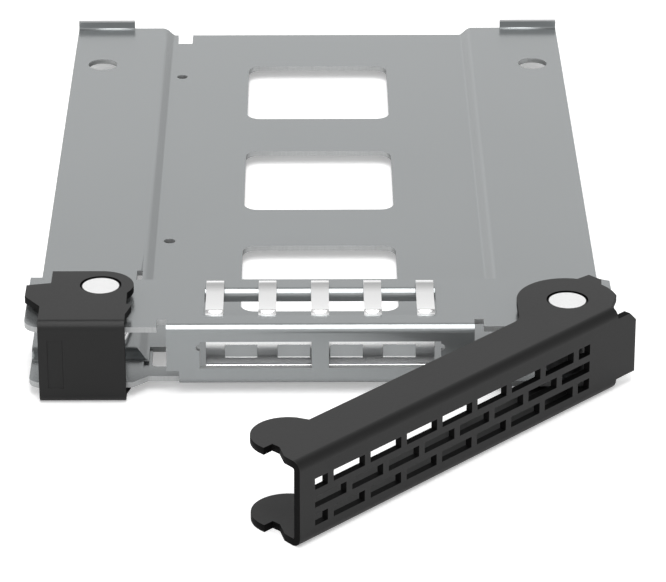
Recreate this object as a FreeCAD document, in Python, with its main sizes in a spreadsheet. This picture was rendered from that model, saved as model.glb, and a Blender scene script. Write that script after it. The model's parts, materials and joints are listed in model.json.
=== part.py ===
import FreeCAD
import Part
import Sketcher
import math
import os

# Hard drive tray for one 2.5-inch drive, in millimetres.
# X runs to the right, Y to the rear and Z up. The origin is the centre of the four drive holes,
# on the face of the shoulders that the drive rests on.

doc = FreeCAD.newDocument("HardDriveTray")
sheet = doc.addObject("Spreadsheet::Sheet", "Sizes")


# Sizes that know their cell
class Size:
    """A length or an angle that carries its number and the sheet expression it comes from."""

    def __init__(self, number, text):
        self.number = number
        self.text = text

    def __add__(self, other):
        other = as_size(other)
        return Size(self.number + other.number, f"({self.text} + {other.text})")

    def __sub__(self, other):
        other = as_size(other)
        return Size(self.number - other.number, f"({self.text} - {other.text})")

    def __mul__(self, other):
        other = as_size(other)
        return Size(self.number * other.number, f"({self.text} * {other.text})")

    def __truediv__(self, other):
        other = as_size(other)
        return Size(self.number / other.number, f"({self.text} / {other.text})")

    def __neg__(self):
        return Size(-self.number, f"(-1 * {self.text})")

    def __radd__(self, other):
        return as_size(other) + self

    def __rsub__(self, other):
        return as_size(other) - self

    def __rmul__(self, other):
        return as_size(other) * self

    def __float__(self):
        return float(self.number)


def as_size(value):
    """Turn a plain number into a Size."""
    return value if isinstance(value, Size) else Size(float(value), repr(float(value)))


def cosine(angle):
    """The cosine of a Size in degrees."""
    return Size(math.cos(math.radians(angle.number)), f"cos({angle.text})")


def sine(angle):
    """The sine of a Size in degrees."""
    return Size(math.sin(math.radians(angle.number)), f"sin({angle.text})")


def arctangent(ratio):
    """The angle in degrees whose tangent is the ratio."""
    return Size(math.degrees(math.atan(ratio.number)), f"(atan({ratio.text}))")


def square_root(value):
    """The square root of a Size."""
    return Size(math.sqrt(value.number), f"sqrt({value.text})")


row = 0


def cell(alias, number):
    """Write a driving dimension into the sheet and return it as a Size."""
    global row
    row += 1
    sheet.set(f"A{row}", alias)
    sheet.set(f"B{row}", str(number))
    sheet.setAlias(f"B{row}", alias)
    return Size(float(number), f"Sizes.{alias}")


# Driving dimensions: the drive's screw holes, and the folded tray round them
drive_hole_span_x = cell("drive_hole_span_x", 61.72)
drive_hole_span_y = cell("drive_hole_span_y", 76.6)
sheet_thickness = cell("sheet_thickness", 0.7)
bend_inside = cell("bend_inside", 0.25)
side_margin = cell("side_margin", 4.14)
half_width = drive_hole_span_x / 2 + side_margin
shoulder_width = cell("shoulder_width", 12.8)
shoulder_inner = half_width - shoulder_width
joggle_depth = cell("joggle_depth", 1.1)
joggle_run = cell("joggle_run", 1.2)
joggle_round = cell("joggle_round", 0.6)
stop_margin = cell("stop_margin", 14.0)
stop_face = drive_hole_span_y / 2 + stop_margin
stop_height = cell("stop_height", 1.1)
stop_width = cell("stop_width", 8.2)
stop_inner = half_width - stop_width
rear_edge_reach = cell("rear_edge_reach", 0.3)
rear_edge = stop_face + rear_edge_reach
rear_notch_inset = cell("rear_notch_inset", 1.8)
rear_notch_left = shoulder_inner - rear_notch_inset
rear_notch_width = cell("rear_notch_width", 2.1)
rear_notch_right = rear_notch_left - rear_notch_width
rear_notch_depth = cell("rear_notch_depth", 3.4)

wall_margin = cell("wall_margin", 23.14)
wall_face = drive_hole_span_y / 2 + wall_margin
front_strip_depth = cell("front_strip_depth", 6.64)
shoulder_front = wall_face - front_strip_depth
drive_hole_radius = cell("drive_hole_radius", 2.05)
tooling_hole_inset = cell("tooling_hole_inset", 2.8)
tooling_hole_x = shoulder_inner - tooling_hole_inset
tooling_rear_inset = cell("tooling_rear_inset", 2.1)
tooling_hole_rear = drive_hole_span_y / 2 - tooling_rear_inset
tooling_front_inset = cell("tooling_front_inset", 17.4)
tooling_hole_front = drive_hole_span_y / 2 - tooling_front_inset
tooling_hole_radius = cell("tooling_hole_radius", 0.75)

window_size = cell("window_size", 19.75)
window_inset = cell("window_inset", 8.08)
window_rear_y = drive_hole_span_y / 2 - window_inset
window_front_inset = cell("window_front_inset", 29.06)
window_pitch = (window_rear_y + wall_face - window_front_inset) / 2
window_corner = cell("window_corner", 1.8)
spring_slot_inset = cell("spring_slot_inset", 0.55)
spring_slot_x = shoulder_inner + spring_slot_inset
spring_slot_width = cell("spring_slot_width", 0.7)
spring_slot_inset_y = cell("spring_slot_inset_y", 15.44)
spring_slot_front = wall_face - spring_slot_inset_y
spring_slot_length = cell("spring_slot_length", 13.6)
spring_slot_rear = spring_slot_front - spring_slot_length

# Driving dimensions: the tray's front wall and flange
wall_end_inset = cell("wall_end_inset", 3.75)
wall_half = shoulder_inner - wall_end_inset
wall_foot_step = cell("wall_foot_step", 1.5)
wall_foot_half = wall_half - wall_foot_step
wall_foot_top = cell("wall_foot_top", 0.1)
flange_top = cell("flange_top", 6.0)
flange_depth = cell("flange_depth", 13.39)
flange_rear = wall_face - flange_depth
flange_overhang = cell("flange_overhang", 0.45)
flange_half = half_width + flange_overhang
flange_front_reach = cell("flange_front_reach", 0.11)
flange_front = wall_face + flange_front_reach
flange_corner = cell("flange_corner", 2.2)
flange_nib_height = cell("flange_nib_height", 0.7)
flange_nib_width = cell("flange_nib_width", 1.55)
relief_width = cell("relief_width", 1.1)
relief_depth = cell("relief_depth", 1.94)
relief_rear = wall_face - relief_depth
floor_front_inset = cell("floor_front_inset", 1.09)
floor_front = wall_face - floor_front_inset
ear_reach = cell("ear_reach", 0.56)
ear_front = wall_face + ear_reach
ear_corner = cell("ear_corner", 1.5)
ear_step_inset = cell("ear_step_inset", 1.5)
ear_step_inner = shoulder_inner - ear_step_inset
ear_step_run = cell("ear_step_run", 1.8)
hatch_inset = cell("hatch_inset", 1.8)
hatch_outer = shoulder_inner - hatch_inset
hatch_width = cell("hatch_width", 3.9)
hatch_inner = hatch_outer - hatch_width
hatch_front_inset = cell("hatch_front_inset", 4.34)
hatch_front = wall_face - hatch_front_inset
hatch_length = cell("hatch_length", 4.8)
hatch_rear = hatch_front - hatch_length
hatch_corner = cell("hatch_corner", 0.8)
ledge_width = cell("ledge_width", 1.0)
ledge_outer = hatch_outer + ledge_width
ledge_length = cell("ledge_length", 1.4)
ledge_front = hatch_front + ledge_length
ledge_depth = cell("ledge_depth", 0.3)

vent_inner = cell("vent_inner", 1.04)
vent_inset = cell("vent_inset", 4.0)
vent_outer = wall_half - vent_inset
vent_bottom = cell("vent_bottom", 0.43)
vent_top = cell("vent_top", 3.95)
vent_notch_height = cell("vent_notch_height", 3.2)
vent_notch_radius = cell("vent_notch_radius", 0.45)
finger_slot_inset = cell("finger_slot_inset", 4.45)
finger_slot_half = wall_half - finger_slot_inset
finger_slot_front_inset = cell("finger_slot_front_inset", 3.16)
finger_slot_front = wall_face - finger_slot_front_inset
finger_slot_length = cell("finger_slot_length", 6.98)
finger_slot_rear = finger_slot_front - finger_slot_length
finger_slot_lip = cell("finger_slot_lip", 1.5)

# Driving dimensions: the grounding clip
clip_thickness = cell("clip_thickness", 0.3)
clip_bend = cell("clip_bend", 0.35)
clip_wall_gap = cell("clip_wall_gap", 0.08)
clip_foot = cell("clip_foot", 2.0)
finger_count = cell("finger_count", 5)
finger_width = cell("finger_width", 2.15)
finger_pitch = cell("finger_pitch", 6.36)
finger_rise = cell("finger_rise", 0.15)
finger_flat = cell("finger_flat", 5.33)
finger_flat_end = finger_slot_front - finger_flat
finger_rise_run = cell("finger_rise_run", 2.25)
finger_crest_y = finger_flat_end - finger_rise_run
finger_crest = cell("finger_crest", 0.65)
finger_crest_round = cell("finger_crest_round", 1.2)
finger_fall_run = cell("finger_fall_run", 1.35)
finger_end_y = finger_crest_y - finger_fall_run
finger_end_gap = cell("finger_end_gap", 0.05)
leg_window_bottom = cell("leg_window_bottom", 1.4)
leg_window_height = cell("leg_window_height", 1.7)
leg_window_width = cell("leg_window_width", 3.9)

# Driving dimensions: the channels of the lever and the button
channel_thickness = cell("channel_thickness", 0.9)
channel_top = cell("channel_top", 7.6)
channel_bottom = cell("channel_bottom", 3.05)
channel_reach = cell("channel_reach", 2.31)
channel_face = wall_face + channel_reach
pin_radius = cell("pin_radius", 2.42)
pin_clearance = cell("pin_clearance", 0.08)
pin_recess = cell("pin_recess", 0.12)
pin_chamfer = cell("pin_chamfer", 0.12)
washer_radius = cell("washer_radius", 3.6)
washer_gap = cell("washer_gap", 0.05)

lever_pivot_inset = cell("lever_pivot_inset", 5.3)
lever_pivot_x = half_width - lever_pivot_inset
lever_pivot_depth = cell("lever_pivot_depth", 3.94)
lever_pivot_y = wall_face - lever_pivot_depth
lever_open_angle = cell("lever_open_angle", 46)
lever_lobe_radius = cell("lever_lobe_radius", 6.1)
lobe_front_angle = cell("lobe_front_angle", 35)
lobe_cam_angle = cell("lobe_cam_angle", 2)
lobe_rear_angle = cell("lobe_rear_angle", 29)
lobe_end_angle = cell("lobe_end_angle", 135)
lever_back_edge = cell("lever_back_edge", 0.5)
lever_web_start = cell("lever_web_start", 2.1)
lever_tab_reach = cell("lever_tab_reach", 5.5)
lever_tab_top = cell("lever_tab_top", 6.35)
lever_tab_bottom = cell("lever_tab_bottom", 1.75)
lever_tab_chamfer = cell("lever_tab_chamfer", 1.2)
lever_cam_reach = cell("lever_cam_reach", 7.2)
lever_cam_side = cell("lever_cam_side", 0.73)
lever_cam_width = cell("lever_cam_width", 2.0)
lever_stop_clearance = cell("lever_stop_clearance", 0.2)
lever_stop_round = cell("lever_stop_round", 3.0)
lever_back_round = cell("lever_back_round", 2.5)
lever_end_spare = cell("lever_end_spare", 1.0)
hook_radius = cell("hook_radius", 4.25)
hook_offset = cell("hook_offset", 0.3)
hook_back_angle = cell("hook_back_angle", 30)
hook_notch_depth = cell("hook_notch_depth", 1.35)
hook_tip_y = cell("hook_tip_y", 0.7)
hook_slant_start = cell("hook_slant_start", 1.8)
hook_slant_end = cell("hook_slant_end", 3.7)
hook_slant_inset = cell("hook_slant_inset", 0.15)
brick_gap = cell("brick_gap", 0.97)
brick_height = cell("brick_height", 1.35)
brick_row_pitch = cell("brick_row_pitch", 2.25)
brick_middle = cell("brick_middle", 1.85)
brick_start = cell("brick_start", 3.05)
brick_count = cell("brick_count", 8)
brick_end_margin = cell("brick_end_margin", 2.46)

button_pivot_inset = cell("button_pivot_inset", 8.45)
button_pivot_x = half_width - button_pivot_inset
button_pivot_depth = cell("button_pivot_depth", 8.49)
button_pivot_y = wall_face - button_pivot_depth
button_web_reach = cell("button_web_reach", 3.3)
button_lobe_spare = cell("button_lobe_spare", 0.7)
button_lobe_radius = button_web_reach + button_lobe_spare
button_web_inset = cell("button_web_inset", 1.4)
button_web_left = half_width - button_web_inset
button_shoulder_inset = cell("button_shoulder_inset", 1.0)
button_shoulder = button_web_left - button_pivot_x - button_shoulder_inset
button_wing_spare = cell("button_wing_spare", 1.95)
button_wing_reach = button_web_left - button_pivot_x + button_wing_spare
button_wing_rear = cell("button_wing_rear", 0.6)
button_wing_front = cell("button_wing_front", 3.25)
button_wing_slant = cell("button_wing_slant", 2.8)
tooth_overlap = cell("tooth_overlap", 0.35)
tooth_gap = cell("tooth_gap", 0.15)
tooth_width = cell("tooth_width", 0.7)
tooth_slant = cell("tooth_slant", 2.2)
button_pad_inset = cell("button_pad_inset", 1.1)
button_pad_left = button_web_left - button_pad_inset
button_pad_width = cell("button_pad_width", 1.8)
button_pad_bottom = cell("button_pad_bottom", 1.05)
button_pad_top = cell("button_pad_top", 5.3)
button_pad_depth = cell("button_pad_depth", 0.12)

# The shut lever ends just short of the button's web.
latch_clearance = cell("latch_clearance", 0.25)
lever_length = lever_pivot_x + button_pivot_x - button_web_reach - latch_clearance
hook_neck_reach = cell("hook_neck_reach", 8.5)
hook_neck = lever_length - hook_neck_reach
brick_pitch = (lever_length - brick_start - brick_end_margin + brick_gap) / brick_count
brick_length = brick_pitch - brick_gap

spring_wire = cell("spring_wire", 0.55)
spring_clearance = cell("spring_clearance", 0.2)
spring_turns = cell("spring_turns", 5)
spring_base = cell("spring_base", 0.3)
spring_pitch = cell("spring_pitch", 0.75)
spring_leg = cell("spring_leg", 7.0)
spring_steps = cell("spring_steps", 16)
spring_wire_sides = cell("spring_wire_sides", 8)
spring_toe_reach = cell("spring_toe_reach", 1.5)
doc.recompute()

# Levels and places that follow from the driving dimensions
zero = as_size(0)
pan_top = -joggle_depth
pan_bottom = pan_top - sheet_thickness
flange_bottom = flange_top - sheet_thickness
bend_outside = bend_inside + sheet_thickness
stop_back = stop_face + sheet_thickness
wall_back = wall_face - sheet_thickness
joggle_slope = square_root(joggle_depth * joggle_depth + joggle_run * joggle_run)
joggle_shift = sheet_thickness * (joggle_slope - joggle_run) / joggle_depth
joggle_taper = arctangent(joggle_run / joggle_depth)
channel_top_inner = channel_top - channel_thickness
channel_bottom_inner = channel_bottom - channel_thickness
channel_bend_outside = bend_inside + channel_thickness
lever_web = channel_face - lever_pivot_y
lever_web_inner = lever_web - channel_thickness
button_web = channel_face - button_pivot_y
stop_line = lever_web_inner - lever_stop_clearance
hook_centre = lever_length - hook_radius


# Sketches, pads and pockets
def new_body(label):
    """Start the body of one sub-part."""
    body = doc.addObject("PartDesign::Body", label + "_body")
    body.Label = label
    return body


def new_sketch(body, name, plane, offset):
    """Attach an empty sketch to one of the body's own planes, moved along its normal by an offset."""
    sketch = body.newObject("Sketcher::SketchObject", name)
    support = [feature for feature in body.Origin.OriginFeatures if feature.Role == plane][0]
    sketch.AttachmentSupport = [(support, "")]
    sketch.MapMode = "FlatFace"
    offset = as_size(offset)
    sketch.AttachmentOffset = FreeCAD.Placement(FreeCAD.Vector(0, 0, offset.number), FreeCAD.Rotation())
    sketch.setExpression("AttachmentOffset.Base.z", offset.text)
    return sketch


def bind(sketch, constraint, value):
    """Add a constraint and tie its value to the sheet."""
    index = sketch.addConstraint(constraint)
    sketch.setExpression(f"Constraints[{index}]", value.text)


def fix_point(sketch, geometry, end, x, y):
    """Hold one end of a curve at a place measured from the sketch's origin."""
    for kind, value in (("DistanceX", as_size(x)), ("DistanceY", as_size(y))):
        bind(sketch, Sketcher.Constraint(kind, -1, 1, geometry, end, value.number), value)


def add_outline(sketch, steps):
    """Draw a closed outline. A step is (x, y), or (x, y, radius, bulge) for an arc that ends there.

    The bulge is 1 where the arc bows to the right of its chord, and -1 where it bows to the left."""
    first = sketch.GeometryCount
    count = len(steps)
    for index, step in enumerate(steps):
        x0, y0 = (float(as_size(value)) for value in steps[index - 1][:2])
        x1, y1 = (float(as_size(value)) for value in step[:2])
        start, end = FreeCAD.Vector(x0, y0, 0), FreeCAD.Vector(x1, y1, 0)
        if len(step) == 2:
            sketch.addGeometry(Part.LineSegment(start, end), False)
            continue
        radius, bulge = float(as_size(step[2])), step[3]
        half = (end - start).Length / 2
        side = FreeCAD.Vector(y1 - y0, x0 - x1, 0).normalize() * bulge
        height = radius - math.sqrt(max(radius * radius - half * half, 0.0))
        sketch.addGeometry(Part.Arc(start, (start + end) / 2 + side * height, end), False)
    for index, step in enumerate(steps):
        geometry = first + index
        x0, y0 = steps[index - 1][:2]
        arc = len(step) > 2
        turned = arc and step[3] < 0
        start, end = (2, 1) if turned else (1, 2)
        following = steps[(index + 1) % count]
        next_start = 2 if len(following) > 2 and following[3] < 0 else 1
        sketch.addConstraint(Sketcher.Constraint("Coincident", geometry, end,
                                                 first + (index + 1) % count, next_start))
        fix_point(sketch, geometry, end, step[0], step[1])
        if arc:
            radius = as_size(step[2])
            bind(sketch, Sketcher.Constraint("Radius", geometry, radius.number), radius)


def bend_corners(corners):
    """Turn corners into outline steps. A corner is (x, y), or (x, y, radius) where the sheet is bent."""
    steps = []
    for index, corner in enumerate(corners):
        if len(corner) == 2:
            steps.append(corner)
            continue
        x, y, radius = corner
        here = FreeCAD.Vector(float(x), float(y), 0)
        back, ahead = (FreeCAD.Vector(float(other[0]), float(other[1]), 0) - here
                       for other in (corners[index - 1], corners[(index + 1) % len(corners)]))
        reach = radius * math.tan((math.pi - back.getAngle(ahead)) / 2)
        back.normalize()
        ahead.normalize()
        bulge = 1 if back.cross(ahead).z < 0 else -1
        steps.append((x + reach * back.x, y + reach * back.y))
        steps.append((x + reach * ahead.x, y + reach * ahead.y, radius, bulge))
    return steps


def add_rectangle(sketch, x0, y0, x1, y1):
    """Draw a closed rectangle between two corners."""
    add_outline(sketch, [(x0, y0), (x1, y0), (x1, y1), (x0, y1)])


def add_circle(sketch, x, y, radius):
    """Draw a circle."""
    x, y, radius = as_size(x), as_size(y), as_size(radius)
    centre = FreeCAD.Vector(x.number, y.number, 0)
    index = sketch.addGeometry(Part.Circle(centre, FreeCAD.Vector(0, 0, 1), radius.number), False)
    fix_point(sketch, index, 3, x, y)
    bind(sketch, Sketcher.Constraint("Radius", index, radius.number), radius)


def pad(body, name, sketch, length, symmetric=False, reverse=False, taper=None):
    """Add material by pushing a sketch along its normal."""
    feature = body.newObject("PartDesign::Pad", name)
    feature.Profile = sketch
    feature.SideType = "Symmetric" if symmetric else "One side"
    feature.Reversed = reverse
    length = as_size(length)
    feature.Length = length.number
    feature.setExpression("Length", length.text)
    if taper is not None:
        feature.TaperAngle = taper.number
        feature.setExpression("TaperAngle", taper.text)
    doc.recompute()
    return feature


def pocket(body, name, sketch, length=None, reverse=False, symmetric=False, taper=None):
    """Cut material away along the sketch's normal, right through where no length is given."""
    feature = body.newObject("PartDesign::Pocket", name)
    feature.Profile = sketch
    if length is None:
        feature.Type = "ThroughAll"
        feature.SideType = "Symmetric"
    else:
        length = as_size(length)
        feature.SideType = "Symmetric" if symmetric else "One side"
        feature.Length = length.number
        feature.setExpression("Length", length.text)
    feature.Reversed = reverse
    if taper is not None:
        feature.TaperAngle = taper.number
        feature.setExpression("TaperAngle", taper.text)
    before = body.Shape.Volume
    doc.recompute()
    if feature.Shape.Volume > before - 1e-6:
        print("WARNING", body.Label, name, "cut nothing")
    return feature


def straight_edges(shape, axis, places, reach=0.02):
    """Find the straight edges along an axis that pass through any of the places."""
    others = [index for index in range(3) if index != axis]
    found = []
    for number, edge in enumerate(shape.Edges, start=1):
        if edge.Curve.TypeId != "Part::GeomLine":
            continue
        ends = [vertex.Point for vertex in edge.Vertexes]
        if len(ends) < 2 or any(abs(ends[0][other] - ends[1][other]) > 1e-4 for other in others):
            continue
        for place in places:
            place = [float(as_size(value)) for value in place]
            if all(abs(ends[0][other] - place[other]) < reach for other in others):
                found.append(f"Edge{number}")
                break
    return found


def level_edges(shape, level, inner, outer, front, rear):
    """Find the edges that lie flat at a level, between two distances either side of X = 0."""
    level, inner, outer, front, rear = (float(value) for value in (level, inner, outer, front, rear))
    found = []
    for number, edge in enumerate(shape.Edges, start=1):
        box = edge.BoundBox
        reach = max(abs(box.XMin), abs(box.XMax)), min(abs(box.XMin), abs(box.XMax))
        flat = abs(box.ZMin - level) < 1e-4 and abs(box.ZMax - level) < 1e-4
        if flat and reach[0] < outer + 0.01 and reach[1] > inner - 0.01 and box.YMin > front + 0.01 \
                and box.YMax < rear + 0.01:
            found.append(f"Edge{number}")
    return found


def fillet_edges(body, name, radius, edges):
    """Round the named edges of the body's last feature."""
    base = body.Tip
    feature = body.newObject("PartDesign::Fillet", name)
    feature.Base = (base, edges)
    radius = as_size(radius)
    feature.Radius = radius.number
    feature.setExpression("Radius", radius.text)
    doc.recompute()
    return feature


def round_edges(body, name, radius, axis, places):
    """Round the straight edges along an axis (0 is X, 1 is Y, 2 is Z) at the given places."""
    edges = straight_edges(body.Tip.Shape, axis, places)
    if not edges:
        print("WARNING", body.Label, name, "found no edge")
        return body.Tip
    return fillet_edges(body, name, radius, edges)


def chamfer_edges(body, name, size, edges):
    """Cut a chamfer on the named edges of the body's last feature."""
    base = body.Tip
    feature = body.newObject("PartDesign::Chamfer", name)
    feature.Base = (base, edges)
    size = as_size(size)
    feature.Size = size.number
    feature.setExpression("Size", size.text)
    doc.recompute()
    return feature


def row_of(body, name, feature, axis, step, copies, reverse=False):
    """Repeat a feature along one of the body's own axes."""
    pattern = body.newObject("PartDesign::LinearPattern", name)
    pattern.Originals = [feature]
    direction = [item for item in body.Origin.OriginFeatures if item.Role == axis][0]
    pattern.Direction = (direction, [""])
    pattern.Reversed = reverse
    length = step * (copies - 1)
    pattern.Length = length.number
    pattern.setExpression("Length", length.text)
    pattern.Occurrences = int(copies.number)
    pattern.setExpression("Occurrences", copies.text)
    body.Tip = pattern
    doc.recompute()
    return pattern


# The tray: one sheet, formed and then trimmed
def lever_stop_on_front(front):
    """Where the flat that stops the open lever meets a front edge: the distance to the right."""
    down = lever_pivot_y - front
    return lever_pivot_x + (stop_line + down * cosine(lever_open_angle)) / sine(lever_open_angle)


def lever_stop_on_side(side):
    """Where the flat that stops the open lever meets a side edge: the distance to the rear."""
    across = side - lever_pivot_x
    return (across * sine(lever_open_angle) - stop_line) / cosine(lever_open_angle) - lever_pivot_y


def build_tray():
    body = new_body("tray")
    spare = sheet_thickness * 8
    lip_start = stop_back - bend_outside

    floor = new_sketch(body, "floor_blank", "XY_Plane", pan_bottom)
    add_rectangle(floor, -half_width - spare * 2, -ear_front - spare, half_width + spare * 2,
                  stop_back + spare * 2)
    pad(body, "floor", floor, sheet_thickness)

    # The shoulders are pressed up out of the floor, with the same slope above and below.
    for side, name in ((-1, "left"), (1, "right")):
        for offset, level, kind in ((zero, pan_top, "above"), (joggle_shift, pan_bottom, "below")):
            form = new_sketch(body, f"{name}_shoulder_{kind}", "XY_Plane", level)
            inner = shoulder_inner - joggle_run + offset
            outer = half_width + spare
            front = -shoulder_front - joggle_run + offset
            add_rectangle(form, inner * side, front, outer * side, stop_back + spare)
            if kind == "above":
                pad(body, f"{name}_shoulder", form, joggle_depth, taper=-joggle_taper)
            else:
                pocket(body, f"{name}_shoulder_hollow", form, joggle_depth, reverse=True,
                       taper=-joggle_taper)
    outer_round = joggle_round + sheet_thickness
    inner = shoulder_inner - joggle_run
    for name, level, radius in (("crest", zero, outer_round), ("foot", pan_top, joggle_round),
                                ("under_crest", -sheet_thickness, joggle_round),
                                ("under_foot", pan_bottom, outer_round)):
        edges = level_edges(body.Tip.Shape, level, inner, half_width + spare, -wall_face, stop_back + spare)
        fillet_edges(body, f"{name}_rounds", radius, edges)

    trim = new_sketch(body, "floor_outline", "XY_Plane", -spare)
    border = half_width + spare * 3
    add_rectangle(trim, -border, -ear_front - spare * 2, border, stop_back + spare * 3)
    add_outline(trim, [
        (-half_width, lip_start), (-half_width, -ear_front),
        (-ear_step_inner - ear_step_run, -ear_front), (-ear_step_inner, -floor_front),
        (ear_step_inner, -floor_front), (ear_step_inner + ear_step_run, -ear_front),
        (lever_stop_on_front(ear_front), -ear_front), (half_width, lever_stop_on_side(half_width)),
        (half_width, lip_start), (stop_inner, lip_start), (stop_inner, rear_edge),
        (-rear_notch_right, rear_edge), (-rear_notch_right, rear_edge - rear_notch_depth),
        (-rear_notch_left, rear_edge - rear_notch_depth), (-rear_notch_left, rear_edge),
        (-stop_inner, rear_edge), (-stop_inner, lip_start)])
    pocket(body, "floor_trim", trim)
    round_edges(body, "ear_round", ear_corner, 2, [(-half_width, -ear_front, 0)])
    round_edges(body, "lever_ear_round", lever_stop_round, 2,
                [(lever_stop_on_front(ear_front), -ear_front, 0)])

    # The sheet turns up behind the drive on both sides.
    for side, name in ((-1, "left"), (1, "right")):
        lip = new_sketch(body, f"{name}_stop_profile", "YZ_Plane", stop_inner if side > 0 else -half_width)
        add_outline(lip, bend_corners([
            (lip_start - bend_outside, zero), (stop_face, zero, bend_inside), (stop_face, stop_height),
            (stop_back, stop_height), (stop_back, -sheet_thickness, bend_outside),
            (lip_start - bend_outside, -sheet_thickness)]))
        pad(body, f"{name}_stop", lip, half_width - stop_inner)

    # The front wall rises from the floor and turns back into the flange.
    wall = new_sketch(body, "wall_profile", "YZ_Plane", 0)
    add_outline(wall, bend_corners([
        (-relief_rear, flange_top), (-wall_face, flange_top, bend_outside),
        (-wall_face, pan_bottom, bend_outside), (-relief_rear, pan_bottom), (-relief_rear, pan_top),
        (-wall_back, pan_top, bend_inside), (-wall_back, flange_bottom, bend_inside),
        (-relief_rear, flange_bottom)]))
    pad(body, "front_wall", wall, wall_half * 2, symmetric=True)
    foot_cut = new_sketch(body, "wall_foot_corners", "XZ_Plane", floor_front)
    for side in (-1, 1):
        add_rectangle(foot_cut, wall_foot_half * side, pan_bottom - sheet_thickness,
                      (wall_half + sheet_thickness) * side, wall_foot_top)
    pocket(body, "wall_foot_cut", foot_cut, bend_outside * 2, reverse=True)

    flange = new_sketch(body, "flange_outline", "XY_Plane", flange_bottom)
    relief_outer = wall_half + relief_width
    add_outline(flange, [
        (-flange_half, -flange_rear + flange_nib_height), (-flange_half, -flange_front),
        (-relief_outer, -flange_front), (-relief_outer, -relief_rear), (-wall_half, -relief_rear),
        (-wall_half, -wall_face + bend_outside), (wall_half, -wall_face + bend_outside),
        (wall_half, -relief_rear), (relief_outer, -relief_rear), (relief_outer, -flange_front),
        (lever_stop_on_front(flange_front), -flange_front), (flange_half, lever_stop_on_side(flange_half)),
        (flange_half, -flange_rear - flange_nib_height), (flange_half - flange_nib_width, -flange_rear),
        (-flange_half + flange_nib_width, -flange_rear),
        (-flange_half + flange_nib_width, -flange_rear + flange_nib_height)])
    pad(body, "top_flange", flange, sheet_thickness)
    round_edges(body, "flange_corner_round", flange_corner, 2, [(-flange_half, -flange_front, 0)])

    # The slot for the spring fingers ends in a lip that is bent down.
    lip_back = -finger_slot_rear + sheet_thickness
    slot = new_sketch(body, "finger_slot_outline", "XY_Plane", flange_top)
    add_rectangle(slot, -finger_slot_half, -finger_slot_front, finger_slot_half,
                  -finger_slot_rear + bend_outside)
    pocket(body, "finger_slot", slot, sheet_thickness)
    lip = new_sketch(body, "finger_slot_lip_profile", "YZ_Plane", 0)
    lip_end = lip_back + bend_outside
    add_outline(lip, bend_corners([
        (lip_end, flange_top), (-finger_slot_rear, flange_top, bend_outside),
        (-finger_slot_rear, flange_top - finger_slot_lip), (lip_back, flange_top - finger_slot_lip),
        (lip_back, flange_bottom, bend_inside), (lip_end, flange_bottom)]))
    pad(body, "finger_slot_lip", lip, finger_slot_half * 2, symmetric=True)

    # Vents in the front wall, each with a small half-round notch at its outer end.
    vents = new_sketch(body, "vent_outlines", "XZ_Plane", wall_face)
    notches = new_sketch(body, "vent_notch_centres", "XZ_Plane", wall_face)
    for side in (-1, 1):
        add_rectangle(vents, vent_inner * side, vent_bottom, vent_outer * side, vent_top)
        add_circle(notches, vent_outer * side, vent_notch_height, vent_notch_radius)
    pocket(body, "vents", vents, sheet_thickness)
    pocket(body, "vent_notches", notches, sheet_thickness)

    # Openings in the floor
    windows = new_sketch(body, "window_outline", "XY_Plane", pan_bottom)
    half = window_size / 2
    add_rectangle(windows, -half, window_rear_y - half, half, window_rear_y + half)
    window = pocket(body, "window", windows, joggle_depth + sheet_thickness, reverse=True)
    row_of(body, "windows", window, "Y_Axis", window_pitch, as_size(3), reverse=True)
    corners = [(half * side, window_rear_y - window_pitch * number + half * end, 0)
               for side in (-1, 1) for number in range(3) for end in (-1, 1)]
    round_edges(body, "window_rounds", window_corner, 2, corners)

    ledge = new_sketch(body, "ledge_outline", "XY_Plane", pan_top)
    for side in (-1, 1):
        add_rectangle(ledge, ledge_outer * side, -ledge_front, hatch_inner * side, -hatch_rear)
    pocket(body, "ledges", ledge, ledge_depth)
    hatch = new_sketch(body, "hatch_outline", "XY_Plane", pan_top)
    for side in (-1, 1):
        add_rectangle(hatch, hatch_outer * side, -hatch_front, hatch_inner * side, -hatch_rear)
    pocket(body, "hatches", hatch, sheet_thickness)
    round_edges(body, "hatch_rounds", hatch_corner, 2,
                [(hatch_outer * side, -hatch_front, 0) for side in (-1, 1)]
                + [(ledge_outer * side, -ledge_front, 0) for side in (-1, 1)])

    slot = new_sketch(body, "spring_slot_outline", "XY_Plane", pan_bottom)
    width = spring_slot_width / 2
    add_rectangle(slot, -spring_slot_x - width, -spring_slot_front,
                  -spring_slot_x + width, -spring_slot_rear)
    pocket(body, "spring_slot", slot, joggle_depth + sheet_thickness * 2, reverse=True)

    holes = new_sketch(body, "hole_centres", "XY_Plane", pan_bottom)
    for x in (-1, 1):
        for y in (-1, 1):
            add_circle(holes, drive_hole_span_x / 2 * x, drive_hole_span_y / 2 * y, drive_hole_radius)
    for y in (tooling_hole_rear, -tooling_hole_front):
        add_circle(holes, -tooling_hole_x, y, tooling_hole_radius)
    pocket(body, "floor_holes", holes, joggle_depth + sheet_thickness * 2, reverse=True)
    pivots = new_sketch(body, "pivot_centres", "XY_Plane", pan_bottom)
    add_circle(pivots, lever_pivot_x, -lever_pivot_y, pin_radius)
    add_circle(pivots, -button_pivot_x, -button_pivot_y, pin_radius)
    pocket(body, "pivot_holes", pivots)
    return body


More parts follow.
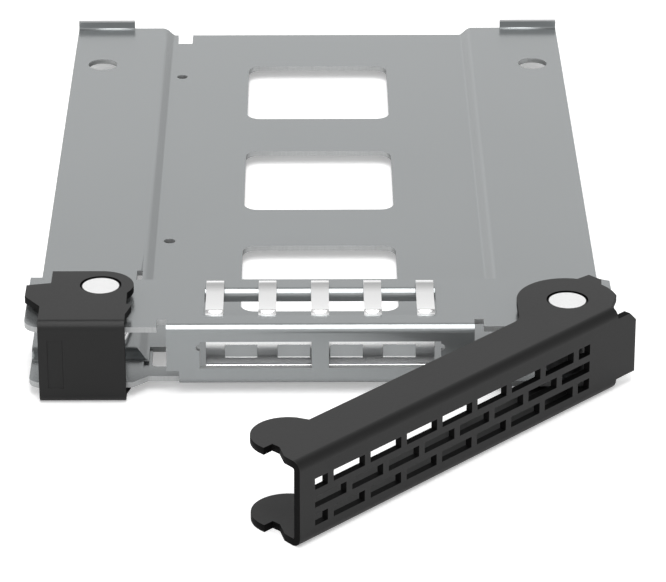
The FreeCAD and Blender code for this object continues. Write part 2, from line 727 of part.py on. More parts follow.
# The grounding clip: a strip bent up from the floor, through the slot and over the flange
def build_grounding_clip():
    body = new_body("grounding_clip")
    width = finger_pitch * (finger_count - 1) + finger_width
    front = -finger_slot_front + clip_wall_gap
    back = front + clip_thickness
    over = flange_top + finger_rise
    top = over + clip_thickness
    crest_top = top + finger_crest
    end = flange_top + finger_end_gap
    fall_run = finger_crest_y - finger_end_y
    fall = crest_top - clip_thickness - end
    fall_length = square_root(fall * fall + fall_run * fall_run)
    end_over, end_up = clip_thickness * fall / fall_length, clip_thickness * fall_run / fall_length
    rise_run = finger_flat_end - finger_crest_y
    slant = clip_thickness * finger_crest / rise_run / 2
    strip = new_sketch(body, "strip_profile", "YZ_Plane", 0)
    outside = clip_bend + clip_thickness
    add_outline(strip, bend_corners([
        (front - clip_foot, pan_top), (back, pan_top, outside), (back, over, clip_bend),
        (-finger_flat_end + slant, over), (-finger_crest_y, crest_top - clip_thickness, finger_crest_round),
        (-finger_end_y, end), (-finger_end_y + end_over, end + end_up),
        (-finger_crest_y, crest_top, finger_crest_round + clip_thickness), (-finger_flat_end - slant, top),
        (front, top, outside), (front, pan_top + clip_thickness, clip_bend),
        (front - clip_foot, pan_top + clip_thickness)]))
    pad(body, "strip", strip, width, symmetric=True)

    gap = finger_pitch - finger_width
    gaps = new_sketch(body, "finger_gap", "XY_Plane", flange_bottom - sheet_thickness)
    first = finger_width / 2 - width / 2 + finger_width / 2
    add_rectangle(gaps, first, front - clip_thickness, first + gap, -finger_end_y + clip_thickness)
    cut = pocket(body, "first_gap", gaps, joggle_depth + flange_top, reverse=True)
    row_of(body, "finger_gaps", cut, "X_Axis", finger_pitch, finger_count - 1)

    windows = new_sketch(body, "leg_window", "XZ_Plane", -back)
    middle = finger_pitch / 2 - width / 2 + finger_width / 2
    low = pan_top + leg_window_bottom
    add_rectangle(windows, middle - leg_window_width / 2, low, middle + leg_window_width / 2,
                  low + leg_window_height)
    cut = pocket(body, "first_leg_window", windows, clip_thickness * 2, reverse=True)
    row_of(body, "leg_windows", cut, "X_Axis", finger_pitch, finger_count - 1)
    return body


# The two black channels, each drawn about its own pivot with the web towards -Y
def add_channel(body, left, right, back, web):
    """Fold a channel from x = left to x = right, open towards +Y, with its web's face at y = -web."""
    profile = new_sketch(body, "channel_profile", "YZ_Plane", left)
    inner = web - channel_thickness
    add_outline(profile, bend_corners([
        (back, channel_top), (-web, channel_top, channel_bend_outside),
        (-web, -channel_bottom, channel_bend_outside), (back, -channel_bottom),
        (back, -channel_bottom_inner), (-inner, -channel_bottom_inner, bend_inside),
        (-inner, channel_top_inner, bend_inside), (back, channel_top_inner)]))
    pad(body, "channel", profile, right - left)


def trim_channel(body, upper, lower, reach, top_depth, bottom_depth):
    """Cut the two flanges of a channel to their outlines."""
    for name, level, depth, outline in (("upper", channel_top, top_depth, upper),
                                        ("lower", -channel_bottom, bottom_depth, lower)):
        trim = new_sketch(body, f"{name}_outline", "XY_Plane", level)
        add_rectangle(trim, -reach, -reach, reach, reach)
        add_outline(trim, outline)
        pocket(body, f"{name}_trim", trim, depth, reverse=name == "lower")


def add_pivot_holes(body):
    """Bore both flanges for the pivot pin."""
    bore = new_sketch(body, "pivot_centre", "XY_Plane", zero)
    add_circle(bore, zero, zero, pin_radius + pin_clearance)
    pocket(body, "pivot_holes", bore)


def on_circle(radius, angle):
    """A point of a circle about the pivot."""
    return radius * cosine(angle), radius * sine(angle)


# The lever, drawn shut: it runs from its pivot towards -X
def build_lever():
    body = new_body("lever")
    add_channel(body, -lever_length, lever_cam_reach, lever_lobe_radius + bend_outside, lever_web)
    lobe, hook_x = lever_lobe_radius, -hook_centre
    front = -lever_web - lever_end_spare
    flange_front_edge = -lever_web + channel_bend_outside
    tip_x = -lever_length
    notch_x = tip_x + hook_notch_depth
    slope_x = tip_x + hook_slant_inset
    reach, rise = on_circle(hook_radius, hook_back_angle)
    back_x = lever_back_edge - lobe * square_root(as_size(2))
    outline = [
        (lever_web_start, front), (lever_web_start, flange_front_edge),
        on_circle(lobe, -lobe_front_angle), (*on_circle(lobe, -lobe_cam_angle), lobe, 1),
        (lever_cam_reach, lever_cam_side), (lever_cam_reach, lever_cam_side + lever_cam_width),
        on_circle(lobe, lobe_rear_angle), (zero, lobe, lobe, 1),
        (*on_circle(lobe, lobe_end_angle), lobe, 1),
        (back_x, lever_back_edge),
        (-hook_neck, lever_back_edge), (hook_x + reach, rise - hook_offset),
        (hook_x, hook_radius - hook_offset, hook_radius, 1), (tip_x, -hook_offset, hook_radius, 1),
        (tip_x, -hook_tip_y), (notch_x, -hook_tip_y), (notch_x, -hook_slant_start),
        (slope_x, -hook_slant_end), (tip_x, flange_front_edge), (tip_x, front)]
    trim_channel(body, outline, outline, lever_length + lever_lobe_radius * 2,
                 channel_top - lever_tab_top, channel_bottom - lever_tab_bottom)
    end_cut = new_sketch(body, "tab_end", "XZ_Plane", lever_web)
    add_rectangle(end_cut, lever_tab_reach, -channel_bottom, lever_cam_reach * 2, channel_top)
    pocket(body, "tab_end_cut", end_cut, channel_bend_outside)
    round_edges(body, "back_round", lever_back_round, 2, [(back_x, lever_back_edge, 0)])
    corner = straight_edges(body.Tip.Shape, 1, [(lever_tab_reach, 0, lever_tab_top)])
    chamfer_edges(body, "tab_chamfer", lever_tab_chamfer, corner)
    add_pivot_holes(body)

    # Three rows of slots, laid like bricks
    half = brick_pitch / 2
    rows = [brick_middle + brick_row_pitch, brick_middle, brick_middle - brick_row_pitch]

    def add_brick(sketch, start, end, middle):
        add_rectangle(sketch, -end, middle - brick_height / 2, -start, middle + brick_height / 2)

    middle_row = new_sketch(body, "middle_row_brick", "XZ_Plane", lever_web)
    add_brick(middle_row, brick_start, brick_start + brick_length, rows[1])
    cut = pocket(body, "middle_row_first", middle_row, channel_thickness)
    row_of(body, "middle_row", cut, "X_Axis", brick_pitch, brick_count, reverse=True)
    outer_rows = new_sketch(body, "outer_row_bricks", "XZ_Plane", lever_web)
    for middle in (rows[0], rows[2]):
        add_brick(outer_rows, brick_start + half, brick_start + half + brick_length, middle)
    cut = pocket(body, "outer_row_first", outer_rows, channel_thickness)
    row_of(body, "outer_rows", cut, "X_Axis", brick_pitch, brick_count - 1, reverse=True)
    ends = new_sketch(body, "half_bricks", "XZ_Plane", lever_web)
    far = brick_start + brick_pitch * (brick_count - 1)
    for middle in (rows[0], rows[2]):
        add_brick(ends, brick_start, brick_start + half - brick_gap, middle)
        add_brick(ends, far + half, far + brick_length, middle)
    pocket(body, "half_brick_cut", ends, channel_thickness)
    return body


# The latch button, drawn as it stands
def build_latch_button():
    body = new_body("latch_button")
    left = button_pivot_x - button_web_left
    right = button_web_reach
    lobe, wing = button_lobe_radius, -button_wing_reach
    add_channel(body, wing, right + lobe, lobe + bend_outside, button_web)
    front = -button_web - lever_end_spare
    tooth_x = right + latch_clearance + tooth_overlap
    tooth_back = -lever_pivot_y + button_pivot_y - hook_tip_y - tooth_gap
    pocket_y = -square_root(lobe * lobe - right * right)
    wing_front = -button_wing_front - button_wing_slant
    lobe_side = [
        (left, front), (right, front), (right, tooth_back - tooth_width - tooth_slant),
        (tooth_x, tooth_back - tooth_width), (tooth_x, tooth_back), (right, tooth_back),
        (right, pocket_y), (lobe, zero, lobe, 1), (zero, lobe, lobe, 1), (-button_shoulder, lobe),
        (-button_shoulder, button_wing_rear)]
    wing_side = [(wing, zero), (wing, -button_wing_front), (left, wing_front)]
    trim_channel(body, lobe_side + wing_side, lobe_side + [(left, zero)], button_web + lobe,
                 channel_thickness * 2, channel_thickness * 2)
    add_pivot_holes(body)
    sides = new_sketch(body, "web_sides", "XZ_Plane", button_web)
    top, bottom = channel_top + channel_thickness, -channel_bottom - channel_thickness
    add_rectangle(sides, wing - channel_thickness, bottom, left, top)
    add_rectangle(sides, right, bottom, right + lobe * 2, top)
    pocket(body, "web_sides_cut", sides, channel_bend_outside + channel_thickness)
    mark = new_sketch(body, "press_mark", "XZ_Plane", button_web)
    mark_left = button_pivot_x - button_pad_left
    add_rectangle(mark, mark_left, -button_pad_bottom, mark_left + button_pad_width, button_pad_top)
    pocket(body, "press_mark_recess", mark, button_pad_depth)
    return body


# Round pieces on the two pivots
def build_pin(label):
    body = new_body(label)
    profile = new_sketch(body, "pin_profile", "XY_Plane", -channel_bottom + pin_recess)
    add_circle(profile, zero, zero, pin_radius)
    pad(body, "pin", profile, channel_top + channel_bottom - pin_recess * 2)
    rims = [f"Edge{number}" for number, edge in enumerate(body.Tip.Shape.Edges, start=1)
            if edge.Curve.TypeId == "Part::GeomCircle"]
    chamfer_edges(body, "pin_chamfers", pin_chamfer, rims)
    return body


def build_washer(label, bottom, thickness):
    body = new_body(label)
    profile = new_sketch(body, "washer_profile", "XY_Plane", bottom)
    add_circle(profile, zero, zero, washer_radius)
    add_circle(profile, zero, zero, pin_radius + pin_clearance)
    pad(body, "washer", profile, thickness)
    return body


# The button's return spring: a coil round the pin, with one leg down into the spring slot and one
# behind the web. The wire has flat sides and the coil is laid in straight steps.
def build_return_spring():
    wire = spring_wire.number / 2
    coil_radius = pin_radius.number + spring_clearance.number + wire
    base = spring_base.number + wire
    across = button_pivot_x.number - spring_slot_x.number
    back = button_pivot_y.number - spring_slot_front.number + wire * spring_toe_reach.number
    steps = int(spring_steps.number)
    path = [FreeCAD.Vector(across, back, -sheet_thickness.number), FreeCAD.Vector(across, back, base)]
    for step in range(int(spring_turns.number) * steps + 1):
        angle = -2 * math.pi * step / steps
        path.append(FreeCAD.Vector(coil_radius * math.cos(angle), coil_radius * math.sin(angle),
                                   base + spring_pitch.number * step / steps))
    path.append(FreeCAD.Vector(coil_radius, -spring_leg.number, path[-1].z))
    sides = int(spring_wire_sides.number)
    corners = [2 * math.pi * (number + 0.5) / sides for number in range(sides + 1)]
    ring = Part.makePolygon([path[0] + FreeCAD.Vector(wire * math.cos(angle), wire * math.sin(angle), 0)
                             for angle in corners])
    right_corners = 1
    spring = doc.addObject("Part::Feature", "button_return_spring_wire")
    spring.Label = "button_return_spring"
    spring.Shape = Part.makePolygon(path).makePipeShell([ring], True, False, right_corners)
    return spring


# Build every sub-part and put it in its place
def place(item, x, y, turn=None):
    """Move a sub-part to its pivot, turned about Z where an angle is given."""
    x, y = as_size(x), as_size(y)
    degrees = as_size(turn if turn is not None else 0)
    item.Placement = FreeCAD.Placement(FreeCAD.Vector(x.number, y.number, 0),
                                       FreeCAD.Rotation(FreeCAD.Vector(0, 0, 1), degrees.number))
    item.setExpression("Placement.Base.x", x.text)
    item.setExpression("Placement.Base.y", y.text)
    item.setExpression("Placement.Rotation.Angle", degrees.text)
    return item


upper_washer = channel_top_inner - flange_top - washer_gap
lower_washer = channel_bottom_inner + pan_bottom - washer_gap
parts = [build_tray(), build_grounding_clip()]
parts.append(place(build_lever(), lever_pivot_x, -lever_pivot_y, lever_open_angle))
parts.append(place(build_latch_button(), -button_pivot_x, -button_pivot_y))
for owner, x, y in (("lever", lever_pivot_x, -lever_pivot_y), ("button", -button_pivot_x, -button_pivot_y)):
    parts.append(place(build_pin(f"{owner}_pivot_pin"), x, y))
    parts.append(place(build_washer(f"{owner}_upper_washer", flange_top, upper_washer), x, y))
    parts.append(place(build_washer(f"{owner}_lower_washer", pan_bottom - lower_washer, lower_washer), x, y))
parts.append(place(build_return_spring(), -button_pivot_x, -button_pivot_y))
doc.recompute()

for item in doc.Objects:
    if "Invalid" in item.State or "Error" in item.State:
        raise RuntimeError(f"{item.Name} failed: {item.State}")
os.makedirs("parts", exist_ok=True)
for item in parts:
    shape = item.Shape
    if shape.isNull() or not shape.isValid() or not shape.Solids:
        raise RuntimeError(f"{item.Label} has no valid solid")
    shape.exportStep(f"parts/{item.Label}.step")
    box = shape.BoundBox
    print(f"{item.Label:22s} solids {len(shape.Solids)} faces {len(shape.Faces):4d} volume {shape.Volume:9.2f}"
          f"  X {box.XMin:7.2f} {box.XMax:7.2f}  Y {box.YMin:7.2f} {box.YMax:7.2f}"
          f"  Z {box.ZMin:6.2f} {box.ZMax:6.2f}")
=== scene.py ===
# %% [markdown]
# A tray for one small hard drive: a folded plated sheet, a bright spring clip that earths the drive, and two
# black channels at the front. The right one is the lever, shown swung open, and the left one is the latch
# button. It could all be modelled from nothing here, but the CAD part has every size already. So that part is
# loaded as a fixed frame, and every piece is made around it, in metres.

# %% Load the frame
import json
import math

import bmesh
import bpy
from mathutils import Matrix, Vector
from mathutils.bvhtree import BVHTree


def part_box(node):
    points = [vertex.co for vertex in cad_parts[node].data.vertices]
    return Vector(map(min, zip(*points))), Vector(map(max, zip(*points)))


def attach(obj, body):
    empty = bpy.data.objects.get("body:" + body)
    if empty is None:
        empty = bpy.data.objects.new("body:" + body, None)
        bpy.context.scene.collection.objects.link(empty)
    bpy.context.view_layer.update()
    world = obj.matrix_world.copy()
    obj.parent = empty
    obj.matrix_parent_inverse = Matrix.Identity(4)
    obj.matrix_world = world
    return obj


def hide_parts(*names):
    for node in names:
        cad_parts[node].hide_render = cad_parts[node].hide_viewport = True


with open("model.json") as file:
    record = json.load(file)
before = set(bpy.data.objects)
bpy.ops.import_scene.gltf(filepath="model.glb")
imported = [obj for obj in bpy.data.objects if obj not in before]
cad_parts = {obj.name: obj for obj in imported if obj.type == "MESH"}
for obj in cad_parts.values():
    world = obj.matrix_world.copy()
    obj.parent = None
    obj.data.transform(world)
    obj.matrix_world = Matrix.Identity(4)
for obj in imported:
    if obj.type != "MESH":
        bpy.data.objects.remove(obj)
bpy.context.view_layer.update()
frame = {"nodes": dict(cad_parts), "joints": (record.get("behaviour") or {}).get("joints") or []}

mm = 0.001
print("nodes:", ", ".join(sorted(frame["nodes"])))

# %% [markdown]
# The finishes are procedural: nodes work them out from the place on the piece, so nothing stretches over a bend.
# Shader maths reads best as plain expressions, so a small class wraps a socket: adding or multiplying two of them
# adds the Math node.


# %% Write shader maths as expressions
class Wire:
    """One output socket of a network of nodes, with the arithmetic of Python."""

    def __init__(self, network, socket):
        self.network = network
        self.socket = socket

    def maths(self, operation, *others):
        """Add a Math node that takes this wire first."""
        node = self.network.tree.nodes.new("ShaderNodeMath")
        node.operation = operation
        for socket, operand in zip(node.inputs, (self, *others)):
            self.network.feed(socket, operand)
        return Wire(self.network, node.outputs[0])

    def __add__(self, other):
        return self.maths("ADD", other)

    def __mul__(self, other):
        return self.maths("MULTIPLY", other)

    __radd__ = __add__
    __rmul__ = __mul__


# %% [markdown]
# Any other node comes from one method. It sets what a node does first, because that decides which sockets the
# node has, and then writes or links what goes in. Materials and the world are both such networks.


# %% Add any other node
def set_stops(ramp, stops):
    """Give a colour ramp its grey levels."""
    while len(ramp.elements) < len(stops):
        ramp.elements.new(0.5)
    for element, (position, level) in zip(ramp.elements, stops):
        element.position = position
        element.color = (level, level, level, 1)


class Network:
    """The nodes of a material or of the world."""

    def __init__(self, owner):
        owner.use_nodes = True
        self.tree = owner.node_tree

    def feed(self, socket, value):
        """Link a wire to a socket, or write a plain value into it."""
        if isinstance(value, Wire):
            self.tree.links.new(value.socket, socket)
        else:
            socket.default_value = value

    def node(self, kind, settings=None, output=0, **inputs):
        """Add a node. Its settings are set first, then the values or links of its inputs."""
        made = self.tree.nodes.new(kind)
        for name, value in (settings or {}).items():
            if name == "stops":
                set_stops(made.color_ramp, value)
            else:
                setattr(made, name, value)
        for name, value in inputs.items():
            self.feed(made.inputs[name.replace("_", " ")], value)
        return Wire(self, made.outputs[output])

    def blend(self, factor, low, high, how="MIX"):
        """Blend two colours by a factor."""
        colour_result = 2
        return self.node("ShaderNodeMix", {"data_type": "RGBA", "blend_type": how}, colour_result,
                         Factor=factor, A=low, B=high)


# %% [markdown]
# A finish is a material with one principled shader. Its noise is measured in features per metre, so that a grain
# has its real size on every piece, and it can be stretched into lines.


# %% Describe a finish
class Finish(Network):
    """A material with one principled shader, and the nodes that a finish needs."""

    def __init__(self, name):
        self.material = bpy.data.materials.new(name)
        super().__init__(self.material)

    def moved(self, scale=(1, 1, 1), location=(0, 0, 0)):
        """Object coordinates, stretched and moved."""
        place = self.node("ShaderNodeTexCoord", output="Object")
        return self.node("ShaderNodeMapping", Vector=place, Scale=scale, Location=location)

    def noise(self, per_metre, stretch=(1, 1, 1), detail=2):
        """Noise from 0 to 1, centred on 0.5. A stretch below 1 draws it out along that axis."""
        return self.node("ShaderNodeTexNoise", Vector=self.moved(stretch), Scale=per_metre, Detail=detail)

    def bump(self, height, strength, distance):
        """Turn a height into a normal."""
        return self.node("ShaderNodeBump", Strength=strength, Distance=distance, Height=height)

    def surface(self, **inputs):
        """Write or link what goes into the principled shader."""
        shader = self.tree.nodes["Principled BSDF"]
        for name, value in inputs.items():
            self.feed(shader.inputs[name.replace("_", " ")], value)
        print("finish", self.material.name + ":", len(self.tree.nodes), "nodes")


def grey(level, cool=0.0):
    """A neutral colour, slightly towards blue-green where cool is above zero."""
    return (level * (1 - cool), level, level * (1 + cool * 0.3), 1)


# %% [markdown]
# The tray is electro-plated sheet. A zinc skin is half mirror and half chalk: it shows its surroundings softly,
# but goes dark where little light reaches it, such as under the flange. So its Metallic value is below one.
# A plain grey with one roughness would look like plastic. A very fine grain runs along the sheet, left by the
# rolling mill, and turns down with it at each bend, and wide faint clouds come from the plating bath.

# %% Finish of the plated sheet
plated = Finish("plated_sheet")
mill_grain = plated.noise(3600, stretch=(1, 0.012, 0.03))
clouds = plated.noise(38, stretch=(1, 0.7, 1))
fine_grain = plated.noise(9000, detail=1)
tone = mill_grain * 0.25 + clouds * 0.6 + fine_grain * 0.15
plated.surface(
    Metallic=0.7,
    Base_Color=plated.blend(tone, grey(0.285, 0.05), grey(0.330, 0.045)),
    Roughness=0.19 + mill_grain * 0.04 + clouds * 0.05,
    Normal=plated.bump(mill_grain * 0.5 + fine_grain * 0.5, strength=0.03, distance=0.02 * mm),
)

# %% [markdown]
# Where the shear went through the sheet, the edge is bare. It is also coloured lighter than the skin, which
# paints the light that the cut edges catch: a painted highlight. It is torn in short upright streaks, which need
# a noise of their own, stretched through the thickness.

# %% Finish of the sheared edges, with a painted highlight
sheared_painted_highlight = Finish("sheared_edge_painted_highlight")
streaks = sheared_painted_highlight.noise(6000, stretch=(1, 1, 0.05))
# The lighter base colour here is partly bare steel and partly a painted highlight of the cut edges.
sheared_painted_highlight.surface(
    Metallic=0.6,
    Base_Color=sheared_painted_highlight.blend(streaks, grey(0.36, 0.02), grey(0.50, 0.02)),
    Roughness=0.30 + streaks * 0.15,
    Normal=sheared_painted_highlight.bump(streaks, strength=0.25, distance=0.02 * mm),
)

# %% [markdown]
# The clip is bright spring steel: nearly a mirror, softened by fine polishing lines across the strip. A perfect
# mirror would show hard black and white patches, so the lines also roughen it a little.

# %% Finish of the spring steel
spring_steel = Finish("spring_steel")
polish = spring_steel.noise(5200, stretch=(0.03, 1, 1))
spring_steel.surface(
    Metallic=0.9,
    Base_Color=spring_steel.blend(polish, grey(0.92), grey(0.97)),
    Roughness=0.16 + polish * 0.05,
    Normal=spring_steel.bump(polish, strength=0.02, distance=0.01 * mm),
)

# %% [markdown]
# The channels wear a semi-matt black coating. Close up it has the skin of an orange, very shallow, and the
# gloss changes a little from place to place. The colour alone is close to nothing, so how black the coating looks
# is set by its IOR: the lower it is, the less light the skin throws back.

# %% Finish of the black coating
black_coat = Finish("black_coating")
skin = black_coat.noise(2600)
drift = black_coat.noise(90)
speck = black_coat.noise(9000, detail=0)
black_coat.surface(
    IOR=1.36,
    Base_Color=black_coat.blend(drift * 0.6 + speck * 0.4, grey(0.006), grey(0.011)),
    Roughness=0.36 + drift * 0.08 + skin * 0.04,
    Normal=black_coat.bump(skin * 0.7 + speck * 0.3, strength=0.22, distance=0.03 * mm),
)

# %% [markdown]
# The cut faces of the channels are coloured a deeper black than the skin, with hardly any gloss: this paints the
# shade that falls on the jambs of the slots and along the edges. Darkening the skin's colour there would change
# little, so they get a finish of their own.

# %% Painted shade on the black cut edges
black_edge_painted_shade = Finish("black_cut_edge_painted_shade")
edge_skin = black_edge_painted_shade.noise(3200)
black_edge_painted_shade.surface(
    IOR=1.12,
    Base_Color=black_edge_painted_shade.blend(edge_skin, grey(0.003), grey(0.006)),
    Roughness=0.5 + edge_skin * 0.1,
    Normal=black_edge_painted_shade.bump(edge_skin, strength=0.2, distance=0.03 * mm),
)

# %% [markdown]
# The pivot pins are turned bar. The lathe leaves rings round each pin's own axis on its faces. A wave texture has
# rings too, but the sine of the distance from the axis gives their real spacing directly. The joint says where
# the axis stands.


# %% Finish of the turned pins
ring_spacing = 0.11 * mm


def turned_steel(name, axis):
    """Bright turned steel, with rings round an upright axis at a place in the frame."""
    finish = Finish(name)
    from_axis = finish.moved(scale=(1, 1, 0), location=(-axis[0], -axis[1], 0))
    radius = finish.node("ShaderNodeVectorMath", {"operation": "LENGTH"}, "Value", Vector=from_axis)
    rings = (radius * (math.tau / ring_spacing)).maths("SINE")
    grain = finish.noise(3000)
    finish.surface(
        Metallic=1.0,
        Base_Color=finish.blend(grain, grey(0.88), grey(0.97)),
        Roughness=0.16 + grain * 0.08,
        Normal=finish.bump(rings * 0.5 + grain * 0.5, strength=0.12, distance=0.02 * mm),
    )
    return finish


hinges = {joint["name"]: joint["pos_m"] for joint in frame["joints"]}
lever_pin_steel = turned_steel("turned_steel_lever_pin", hinges["lever_hinge"])
button_pin_steel = turned_steel("turned_steel_button_pin", hinges["button_hinge"])

# %% [markdown]
# Only the faced ends of a pin are bright. The shank and the broken corner of the head are coloured nearly black
# and dull: this paints the shade in the narrow gap round each pin, so each head is seen with a dark ring round it.

# %% Painted shade on the pins' shanks
pin_shank_painted_shade = Finish("pin_shank_painted_shade")
shank_mottle = pin_shank_painted_shade.noise(1400, stretch=(1, 1, 0.4))
pin_shank_painted_shade.surface(
    Metallic=0.7,
    Base_Color=pin_shank_painted_shade.blend(shank_mottle, grey(0.035), grey(0.07)),
    Roughness=0.42 + shank_mottle * 0.12,
    Normal=pin_shank_painted_shade.bump(shank_mottle, strength=0.12, distance=0.02 * mm),
)

# %% [markdown]
# The washers are thin dark plastic rings. Little of them is seen, so an even, slightly clouded plastic is enough.

# %% Finish of the washers
ring_plastic = Finish("washer_plastic")
cloud = ring_plastic.noise(900)
ring_plastic.surface(
    IOR=1.45,
    Base_Color=ring_plastic.blend(cloud, grey(0.012), grey(0.02)),
    Roughness=0.45 + cloud * 0.1,
    Normal=ring_plastic.bump(cloud, strength=0.2, distance=0.03 * mm),
)

# %% [markdown]
# Each CAD node is a mesh of loose triangles. It is never changed, so a piece starts from a merged copy of it, and
# a finished shape becomes an object of the scene.

# %% Copy a CAD node and make an object
weld_distance = 0.0005 * mm


def merged_copy(node):
    """A copy of a CAD node's mesh with its loose triangles merged."""
    shape = bmesh.new()
    shape.from_mesh(frame["nodes"][node].data)
    bmesh.ops.remove_doubles(shape, verts=shape.verts, dist=weld_distance)
    shape.normal_update()
    return shape


def linked(name, data):
    """Put a mesh, a lamp or a camera into the scene."""
    thing = bpy.data.objects.new(name, data)
    bpy.context.scene.collection.objects.link(thing)
    return thing


def smooth_object(name, shape, finishes):
    """Turn a shape into an object of the scene that is shaded smooth."""
    for face in shape.faces:
        face.smooth = True
    mesh = bpy.data.meshes.new(name)
    shape.to_mesh(mesh)
    shape.free()
    for finish in finishes:
        mesh.materials.append(finish.material)
    print(name + ":", len(mesh.polygons), "faces")
    return linked(name, mesh)


# %% [markdown]
# A sheet has two kinds of face: the rolled skin, and the edge where it was cut. Painting them by hand would have
# to be done again after each change. A ray into the metal tells them apart: behind the skin the metal is one
# thickness deep, and behind an edge it goes on. The bars between the lever's vents are hardly wider than the
# sheet is thick, so the ray takes their cut sides for skin. Those are found by the slots' hollow corners, which
# lie level and are exactly as long as the sheet is thick, and they get the cut edges' finish, which paints the
# shade inside the slots.

# %% Tell the cut edges from the skin
just_under = 0.02 * mm
deeper_than_sheet = 1.25
hollow_corner = math.radians(-80)
length_slack = 0.05 * mm
level_slope = 0.1


def is_sheared(face, tree, thickness):
    """True where the metal behind a face goes deeper than the sheet is thick."""
    start = face.calc_center_median() - face.normal * just_under
    depth = tree.ray_cast(start, -face.normal)[3]
    return depth is None or depth > thickness * deeper_than_sheet


def paint_shade_on_slot_walls(shape, thickness):
    """Give the walls of narrow slots the second finish, the painted shade of the cut edges."""
    corners = 0
    for edge in shape.edges:
        along = edge.verts[1].co - edge.verts[0].co
        if (edge.is_manifold and edge.calc_face_angle_signed(0) < hollow_corner
                and abs(along.length - thickness) < length_slack and abs(along.z) < level_slope * thickness):
            corners += 1
            for face in edge.link_faces:
                face.material_index = 1
    print("slot corners found:", corners)


# %% [markdown]
# No real sheet has a knife edge. A small bevel lets each edge catch a line of light, but thin triangles beside an
# edge would hold the bevel back. So the flat areas are joined into large faces first, and only then are the sharp
# edges bevelled. In tight corners that may leave faces without area, and they are dissolved.

# %% Soften the edges of a CAD piece
flat_angle = math.radians(0.4)
sharp_angle = math.radians(32)
upright_enough = 0.98


def softened(node, finishes, bevel_width, body, thickness=None, slots=False, pin=False):
    """A copy of a CAD piece with small bevels on its edges, which stands for that piece."""
    shape = merged_copy(node)
    # Where the metal goes deeper, a face takes the second finish: on the tray that is a painted highlight on the
    # cut edges, on the channels it is painted shade.
    if thickness:
        tree = BVHTree.FromBMesh(shape)
        for face in shape.faces:
            face.material_index = int(is_sheared(face, tree, thickness))
    bmesh.ops.dissolve_limit(shape, angle_limit=flat_angle, use_dissolve_boundaries=False,
                             verts=shape.verts, edges=shape.edges, delimit={"NORMAL", "MATERIAL"})
    shape.normal_update()
    if slots:
        paint_shade_on_slot_walls(shape, thickness)
    sharp = [edge for edge in shape.edges if edge.is_manifold and edge.calc_face_angle(0) > sharp_angle]
    bmesh.ops.bevel(shape, geom=sharp, offset=bevel_width, offset_type="OFFSET", affect="EDGES", segments=2,
                    profile=0.5, clamp_overlap=True, material=-1)
    bmesh.ops.dissolve_degenerate(shape, dist=weld_distance, edges=shape.edges)
    shape.normal_update()
    # On a pin, every face that is not upright takes the second finish: the painted shade of the shank.
    if pin:
        for face in shape.faces:
            face.material_index = int(abs(face.normal.z) < upright_enough)
    piece = smooth_object(node + "_finished", shape, finishes)
    weighted = piece.modifiers.new("even_normals", "WEIGHTED_NORMAL")
    weighted.weight = 100
    weighted.keep_sharp = True
    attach(piece, body)
    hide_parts(node)


# %% [markdown]
# The tray and the clip are thin, so their edges are broken only a little. The channels have a coat of paint over
# the edge, which rounds it more. The pins have a turned corner, and the washers are moulded.

# %% Soften all pieces but the spring
tray_sheet = 0.7 * mm
channel_sheet = 0.9 * mm
black = [black_coat, black_edge_painted_shade]
softened("tray", [plated, sheared_painted_highlight], 0.07 * mm, "tray", tray_sheet)
softened("grounding_clip", [spring_steel], 0.03 * mm, "tray")
softened("lever", black, 0.10 * mm, "lever", channel_sheet, slots=True)
softened("latch_button", black, 0.12 * mm, "latch_button", channel_sheet)
softened("lever_pivot_pin", [lever_pin_steel, pin_shank_painted_shade], 0.08 * mm, "tray", pin=True)
softened("button_pivot_pin", [button_pin_steel, pin_shank_painted_shade], 0.08 * mm, "tray", pin=True)
for owner in ("lever", "button"):
    for level in ("upper", "lower"):
        softened(f"{owner}_{level}_washer", [ring_plastic], 0.04 * mm, "tray")

# %% [markdown]
# The return spring is one steel wire, wound round the button's pin and hidden by the button from most sides. The
# CAD solid is made of short straight steps to stay light. A new curve could be wound instead, but it would have to
# repeat the solid's sizes. So the solid's triangles are joined into quads, and a subdivision surface runs smoothly
# through them, which gives back the round wire and the round turns.

# %% Round the wire of the return spring
wire_shape = merged_copy("button_return_spring")
bmesh.ops.join_triangles(wire_shape, faces=wire_shape.faces, angle_face_threshold=math.radians(30),
                         angle_shape_threshold=math.radians(120))
return_spring = smooth_object("return_spring_wire", wire_shape, [spring_steel])
rounding = return_spring.modifiers.new("round_wire", "SUBSURF")
rounding.levels = rounding.render_levels = 2
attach(return_spring, "tray")
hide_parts("button_return_spring")

# %% [markdown]
# The studio is a white table. It is a pale surface that takes the object's shadow. Where the camera looks at it,
# some white is added, so the open floor is white and the shadow stays close to the object. More light would do
# the same, but it would wash out the object too. To other rays the table is hardly more than the pale surface,
# so it throws no extra light on the object.

# %% Floor
clear_of_floor = 0.02 * mm
floor_size = 4.0
floor_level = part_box("lever")[0].z - clear_of_floor
floor_shape = bmesh.new()
bmesh.ops.create_grid(floor_shape, x_segments=1, y_segments=1, size=floor_size,
                      matrix=Matrix.Translation((0, 0, floor_level)))
table = Finish("white_table")
seen = table.node("ShaderNodeLightPath", output="Is Camera Ray")
mirrored = (table.node("ShaderNodeLightPath", output="Is Glossy Ray")
            + table.node("ShaderNodeLightPath", output="Is Transmission Ray"))
table.surface(
    Base_Color=grey(0.93),
    Roughness=0.9,
    Specular_IOR_Level=0.0,
    Emission_Color=grey(1),
    Emission_Strength=seen * 0.36 + mirrored * 0.05,
)
floor = smooth_object("floor", floor_shape, [table])

# %% [markdown]
# Metal shows what is around it more than its own colour. An even white room would leave the sheet flat, and many
# lamps would cast many shadows. So the surroundings are bright near the horizon and darker higher up and at the
# sides: the flat sheet grows darker towards the front and its steps stand out. To the camera they are plain white.

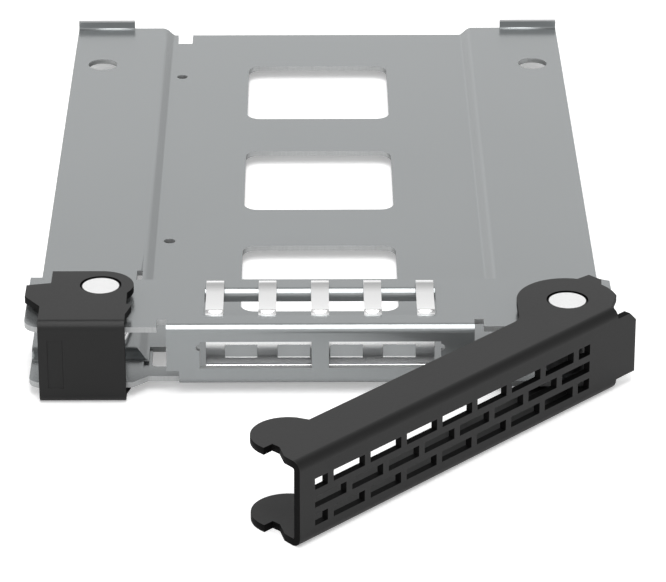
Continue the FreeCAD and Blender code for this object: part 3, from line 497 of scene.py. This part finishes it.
# %% Surroundings
level_by_height = [(0.0, 0.9), (0.32, 1.24), (0.44, 0.86), (0.62, 0.76), (0.80, 0.34), (1.0, 0.17)]
level_by_side = [(0.20, 0.88), (0.41, 1.0), (0.57, 1.0), (0.74, 0.60)]
world = bpy.data.worlds.new("studio")
bpy.context.scene.world = world
sky = Network(world)
direction = sky.node("ShaderNodeTexCoord", output="Generated")
height = sky.node("ShaderNodeSeparateXYZ", output="Z", Vector=direction)
across = sky.node("ShaderNodeSeparateXYZ", output="X", Vector=direction) * 0.5 + 0.5
upwards = sky.node("ShaderNodeValToRGB", {"stops": level_by_height}, Fac=height)
sideways = sky.node("ShaderNodeValToRGB", {"stops": level_by_side}, Fac=across)
room = sky.blend(1.0, upwards, sideways, "MULTIPLY")
seen_room = sky.blend(sky.node("ShaderNodeLightPath", output="Is Camera Ray"), room, grey(1))
sky.feed(sky.tree.nodes["Background"].inputs["Color"], seen_room)
print("surroundings:", len(sky.tree.nodes), "nodes")

# %% [markdown]
# One long, narrow, soft lamp runs forwards from above the tray: the front bend shows it as a white line. A lamp
# behind the tray would throw the shadow forwards and leave the bends dark.

# %% Lamp
lamp_data = bpy.data.lights.new("overhead_lamp", "AREA")
lamp_data.shape = "RECTANGLE"
lamp_data.size = 0.24
lamp_data.size_y = 0.89
lamp_data.energy = 3.7
lamp = linked("overhead_lamp", lamp_data)
lamp.location = (0, -0.275, 0.6)
print("lamp:", round(lamp_data.size, 2), "by", round(lamp_data.size_y, 2), "m")

# %% [markdown]
# The photograph was taken with a long lens from in front and above. A camera set by eye would leave its place in
# doubt, so its place and focal length were worked out from the four drive holes, whose distances are a standard.

# %% Camera
camera_data = bpy.data.cameras.new("camera")
camera_data.sensor_width = 36.0
camera_data.lens = 205.24
camera_data.clip_start = 0.01
camera_data.clip_end = 20.0
camera = linked("camera", camera_data)
camera.location = (-1.28 * mm, -469.82 * mm, 201.85 * mm)
camera.rotation_euler = (math.radians(64.912), 0, math.radians(-0.3927))
bpy.context.scene.camera = camera
bpy.context.scene.view_settings.view_transform = "Standard"
print("camera: focal length", round(camera_data.lens, 2), "mm")
